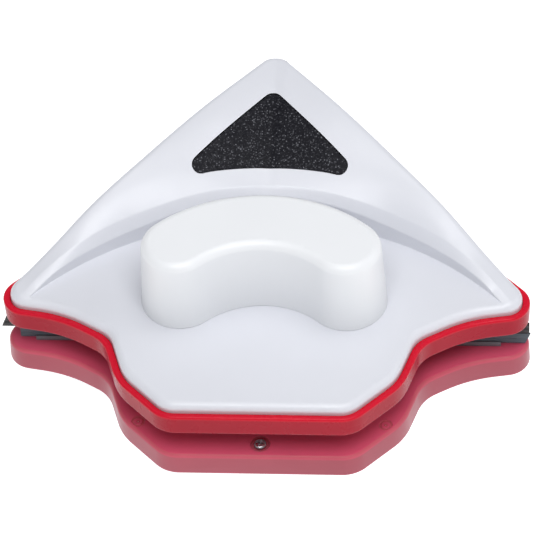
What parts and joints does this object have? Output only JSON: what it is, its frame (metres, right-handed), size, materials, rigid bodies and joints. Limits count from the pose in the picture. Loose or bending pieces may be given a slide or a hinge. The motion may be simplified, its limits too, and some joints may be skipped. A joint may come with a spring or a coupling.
{
  "type": "magnetic glass cleaner",
  "caption": "Double-sided magnetic cleaner for window panes or tank glass: two wing-shaped halves with crescent handles, wiper blades and soft pads.",
  "frame": {"origin": "under the middle of the pair, on the plane that it stands on, the flat top of the outer half's handle", "axes": "+X along the blades, +Y towards the pointed rear corner, +Z from the outer half to the inner half, square to the glass"},
  "size_m": [0.2542, 0.2002, 0.131],
  "materials": {
    "white_plastic": "smooth moulded, satin gloss",
    "red_plastic": "smooth moulded, gloss",
    "rose_plastic": "smooth moulded, satin gloss",
    "black_plate": "fine glitter in black",
    "black_rubber": "matt",
    "grey_rubber": "matt",
    "grey_plastic": "matt moulded",
    "zinc_steel": "zinc plated",
    "magnet_nickel": "nickel plated",
    "pad_fabric": "short-pile cleaning cloth"
  },
  "bodies": {
    "outer_half": {"outer_cover": "white_plastic", "outer_base_tray": "rose_plastic", "outer_handle": "white_plastic", "outer_inset_plate": "black_plate", "outer_wiper_blade": "grey_rubber", "outer_blade_rail": "grey_plastic", "outer_magnet_carrier": "grey_plastic", "outer_yoke_plate": "zinc_steel", "outer_front_pad": "pad_fabric", "outer_rear_pad": "pad_fabric", "outer_magnet_1": "magnet_nickel", "outer_magnet_2": "magnet_nickel", "outer_magnet_3": "magnet_nickel", "outer_magnet_4": "magnet_nickel", "outer_base_screw_1": "zinc_steel", "outer_base_screw_2": "zinc_steel", "outer_base_screw_3": "zinc_steel", "outer_base_screw_4": "zinc_steel", "outer_handle_screw_1": "zinc_steel", "outer_handle_screw_2": "zinc_steel"},
    "inner_half": {"inner_cover": "white_plastic", "inner_base_tray": "red_plastic", "inner_handle": "white_plastic", "inner_inset_plate": "black_plate", "inner_wiper_blade": "black_rubber", "inner_blade_rail": "grey_plastic", "inner_magnet_carrier": "grey_plastic", "inner_yoke_plate": "zinc_steel", "inner_front_pad": "pad_fabric", "inner_rear_pad": "pad_fabric", "inner_magnet_1": "magnet_nickel", "inner_magnet_2": "magnet_nickel", "inner_magnet_3": "magnet_nickel", "inner_magnet_4": "magnet_nickel", "inner_base_screw_1": "zinc_steel", "inner_base_screw_2": "zinc_steel", "inner_base_screw_3": "zinc_steel", "inner_base_screw_4": "zinc_steel", "inner_handle_screw_1": "zinc_steel", "inner_handle_screw_2": "zinc_steel"}
  },
  "joints": [
    {"name": "pull_apart", "type": "slide", "parent": "outer_half", "child": "inner_half", "axis": [0, 0, 1], "range_m": [0, 0.12]}
  ]
}
